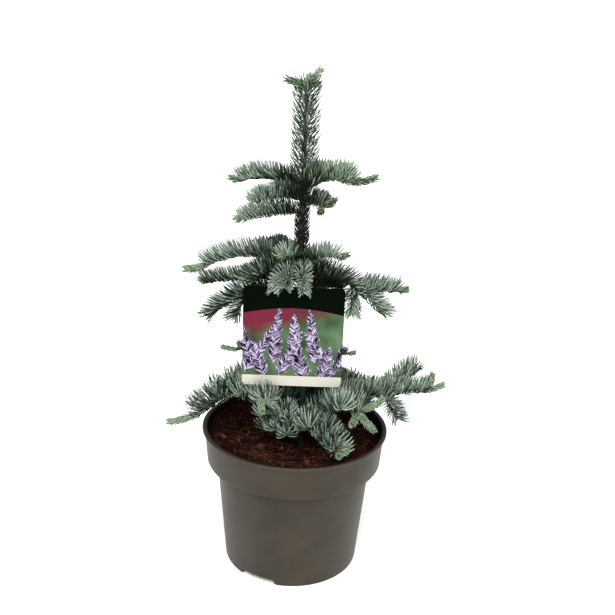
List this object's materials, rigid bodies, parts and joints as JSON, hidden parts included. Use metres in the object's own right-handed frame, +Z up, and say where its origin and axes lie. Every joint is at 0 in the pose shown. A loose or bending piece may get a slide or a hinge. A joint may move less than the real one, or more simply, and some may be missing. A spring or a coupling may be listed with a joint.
{
  "type": "potted_blue_noble_fir",
  "caption": "Young blue noble fir with whorls of short blue-green needled boughs, in a round dark grey nursery pot with a plain picture label on a spike.",
  "frame": {"origin": "the middle of the pot's flat underside, on its centre pad", "axes": "+Z up along the trunk; -Y is the front, towards the camera; +X is to the camera's right"},
  "size_m": [0.2729, 0.2215, 0.5045],
  "materials": {
    "pot": "matte moulded plastic",
    "soil": "damp peat and coir with bark bits",
    "bark": "thin grey-brown bark",
    "needles": "waxy blue-green needles",
    "new_shoots": "soft fresh green shoots",
    "label": "printed semi-gloss plastic sheet"
  },
  "bodies": {
    "root": {"bough_low_back": "bark", "bough_low_back_left": "bark", "bough_low_back_right": "bark", "bough_low_front_left": "bark", "bough_low_front_right": "bark", "bough_low_left": "bark", "bough_low_right": "bark", "bough_low_right_back": "bark", "bough_low_right_front": "bark", "bough_middle_back": "bark", "bough_middle_back_right": "bark", "bough_middle_down_left": "bark", "bough_middle_front": "bark", "bough_middle_left": "bark", "bough_middle_low_left": "bark", "bough_middle_right": "bark", "bough_top_right": "bark", "label": "label", "leader_needles": "needles", "leader_tip": "new_shoots", "mass_inner_back_left": "needles", "mass_inner_back_right": "needles", "mass_inner_left": "needles", "mass_inner_right": "needles", "mass_low_back": "needles", "mass_low_back_left": "needles", "mass_low_back_right": "needles", "mass_low_front": "needles", "mass_low_front_left": "needles", "mass_low_front_right": "needles", "mass_low_left": "needles", "mass_low_left_front": "needles", "mass_low_right": "needles", "mass_low_right_back": "needles", "mass_low_right_front": "needles", "mass_middle_back": "needles", "mass_middle_back_left": "needles", "mass_middle_back_right": "needles", "mass_middle_down_left": "needles", "mass_middle_front": "needles", "mass_middle_front_right": "needles", "mass_middle_left": "needles", "mass_middle_left_front": "needles", "mass_middle_low_left": "needles", "mass_middle_right": "needles", "mass_middle_upper_front": "needles", "mass_middle_upper_right": "needles", "mass_top_back": "needles", "mass_top_back_left": "needles", "mass_top_back_right": "needles", "mass_top_front_left": "needles", "mass_top_front_right": "needles", "mass_top_low_left": "needles", "mass_top_right": "needles", "pot": "pot", "soil": "soil", "trunk": "bark", "trunk_needles_lower": "needles", "trunk_needles_upper": "needles"}
  },
  "joints": []
}
